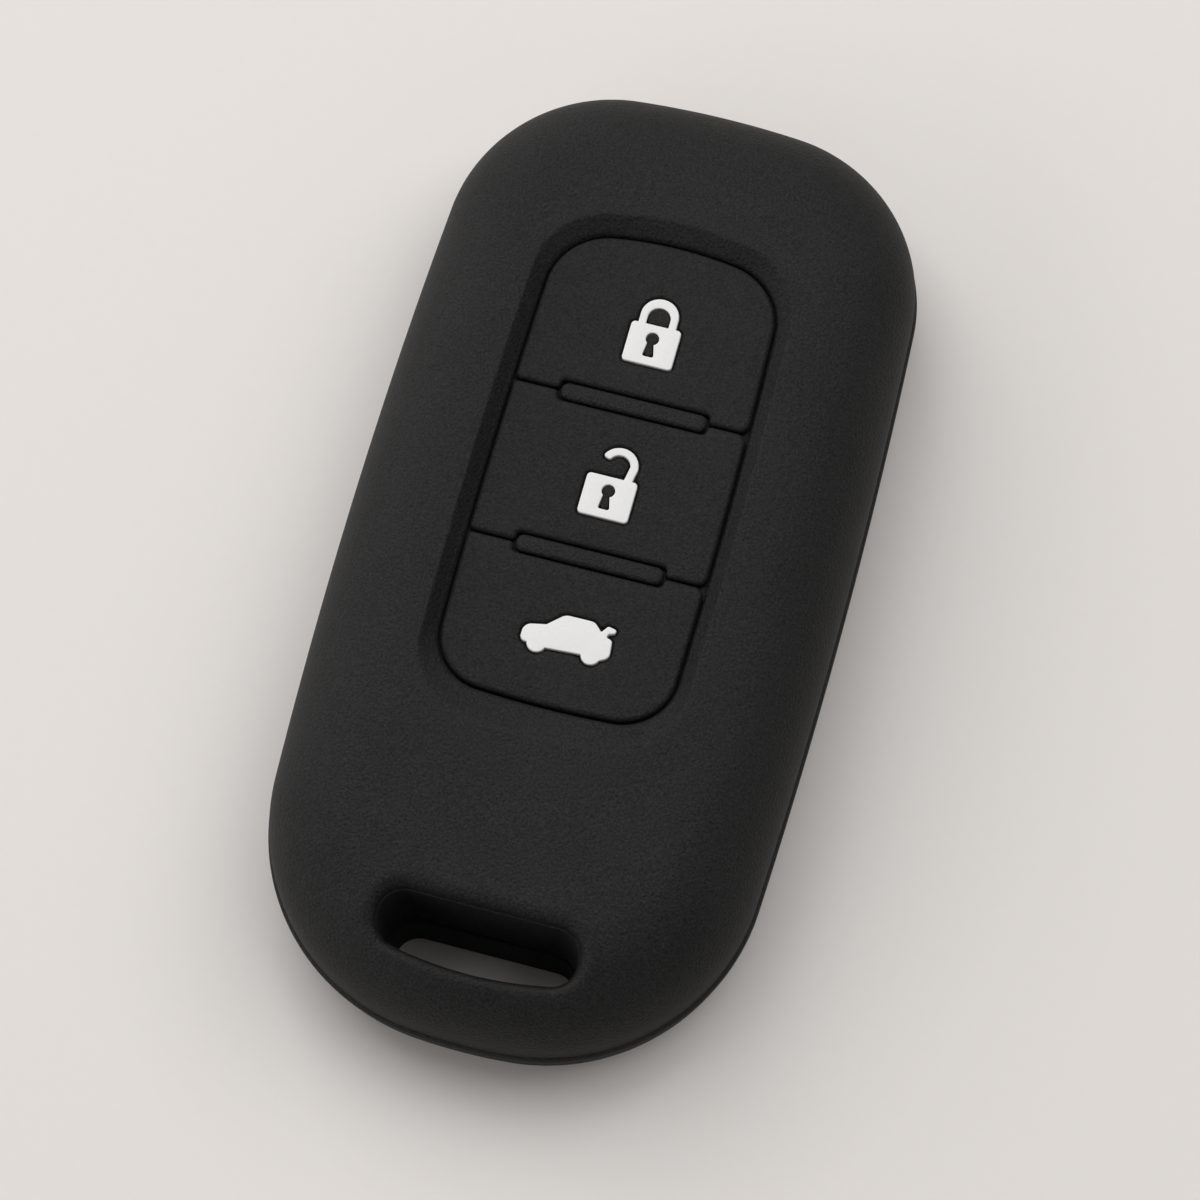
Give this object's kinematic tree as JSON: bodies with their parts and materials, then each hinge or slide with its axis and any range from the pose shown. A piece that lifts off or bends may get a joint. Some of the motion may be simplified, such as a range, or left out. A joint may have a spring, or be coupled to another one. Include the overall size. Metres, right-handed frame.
{
  "type": "key fob cover",
  "caption": "Soft silicone cover for a car-key fob: domed pebble shell with sprung press pads and white signs in a sunk panel, a rear window for the fob and a key-ring slot.",
  "frame": {"origin": "middle of the cover's outline, on the flat back that it lies on", "axes": "+Z out of the button face, +Y along the cover towards the lock button, +X to the right when the signs read upright"},
  "size_m": [0.0406, 0.0806, 0.0148],
  "materials": {
    "cover_silicone": "matte, fine grain",
    "button_silicone": "matte, fine grain",
    "white_silicone": "satin"
  },
  "bodies": {
    "cover": {"front_shell": "cover_silicone", "back_shell": "cover_silicone", "button_web": "cover_silicone", "upper_divider_bar": "cover_silicone", "lower_divider_bar": "cover_silicone"},
    "lock_pad": {"lock_button": "button_silicone", "lock_sign": "white_silicone"},
    "unlock_pad": {"unlock_button": "button_silicone", "unlock_sign": "white_silicone"},
    "boot_pad": {"boot_button": "button_silicone", "boot_sign": "white_silicone"}
  },
  "joints": [
    {"name": "lock_press", "type": "slide", "parent": "cover", "child": "lock_pad", "axis": [0, 0, 1], "range_m": [-0.0006, 0], "stiffness_N_per_m": 3000, "deforming": ["button_web"]},
    {"name": "unlock_press", "type": "slide", "parent": "cover", "child": "unlock_pad", "axis": [0, 0, 1], "range_m": [-0.0006, 0], "stiffness_N_per_m": 3000, "deforming": ["button_web"]},
    {"name": "boot_press", "type": "slide", "parent": "cover", "child": "boot_pad", "axis": [0, 0, 1], "range_m": [-0.0006, 0], "stiffness_N_per_m": 3000, "deforming": ["button_web"]}
  ]
}
